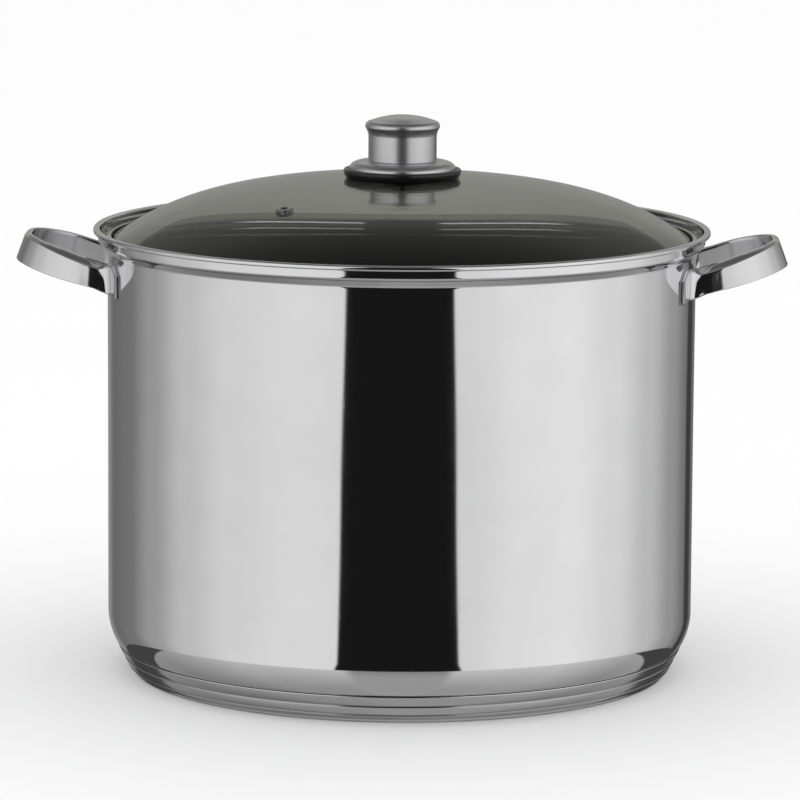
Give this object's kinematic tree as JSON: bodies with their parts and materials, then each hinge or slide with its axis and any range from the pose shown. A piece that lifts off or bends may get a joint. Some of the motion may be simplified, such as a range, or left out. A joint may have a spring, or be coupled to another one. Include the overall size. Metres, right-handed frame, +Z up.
{
  "type": "stock pot",
  "caption": "Tall round stock pot with an encapsulated base, two welded handles of folded sheet and a lift-off domed glass lid with a steel band, steam vent and hollow steel knob.",
  "frame": {"origin": "centre of the base's flat underside", "axes": "+Z up along the pot's axis, +X through the right handle, -Y towards the viewer"},
  "size_m": [0.395, 0.3162, 0.287],
  "materials": {
    "polished_steel": "mirror polished stainless steel",
    "capsule_steel": "satin polished magnetic stainless steel",
    "heat_spreader": "plain aluminium",
    "handle_steel": "mirror polished stainless steel strap with rounded edges",
    "lid_glass": "clear tempered glass with a faint grey-green tint",
    "band_steel": "polished stainless steel",
    "knob_steel": "satin stainless steel with fine brushing",
    "black_silicone": "glossy black silicone",
    "clear_silicone": "dark grey silicone",
    "fastener_steel": "plain stainless fastener"
  },
  "bodies": {
    "pot": {"pot_shell": "polished_steel", "base_capsule": "capsule_steel", "heat_spreader_disc": "heat_spreader", "handle_left": "handle_steel", "handle_right": "handle_steel"},
    "lid_ring": {"lid_rim_band": "band_steel"},
    "lid": {"lid_glass": "lid_glass", "lid_band_seal": "clear_silicone", "vent_eyelet": "fastener_steel", "vent_washer": "fastener_steel", "knob_gasket": "black_silicone", "knob_base_plate": "knob_steel", "knob_shell": "knob_steel", "knob_insert": "fastener_steel", "knob_screw": "fastener_steel", "screw_washer": "fastener_steel", "lower_gasket": "clear_silicone"}
  },
  "joints": [
    {"name": "lid_lift", "type": "slide", "parent": "pot", "child": "lid_ring", "axis": [0, 0, 1], "range_m": [0, 0.32]},
    {"name": "lid_turn", "type": "hinge", "parent": "lid_ring", "child": "lid", "pos_m": [0, 0, 0.225], "axis": [0, 0, 1], "continuous": true}
  ]
}
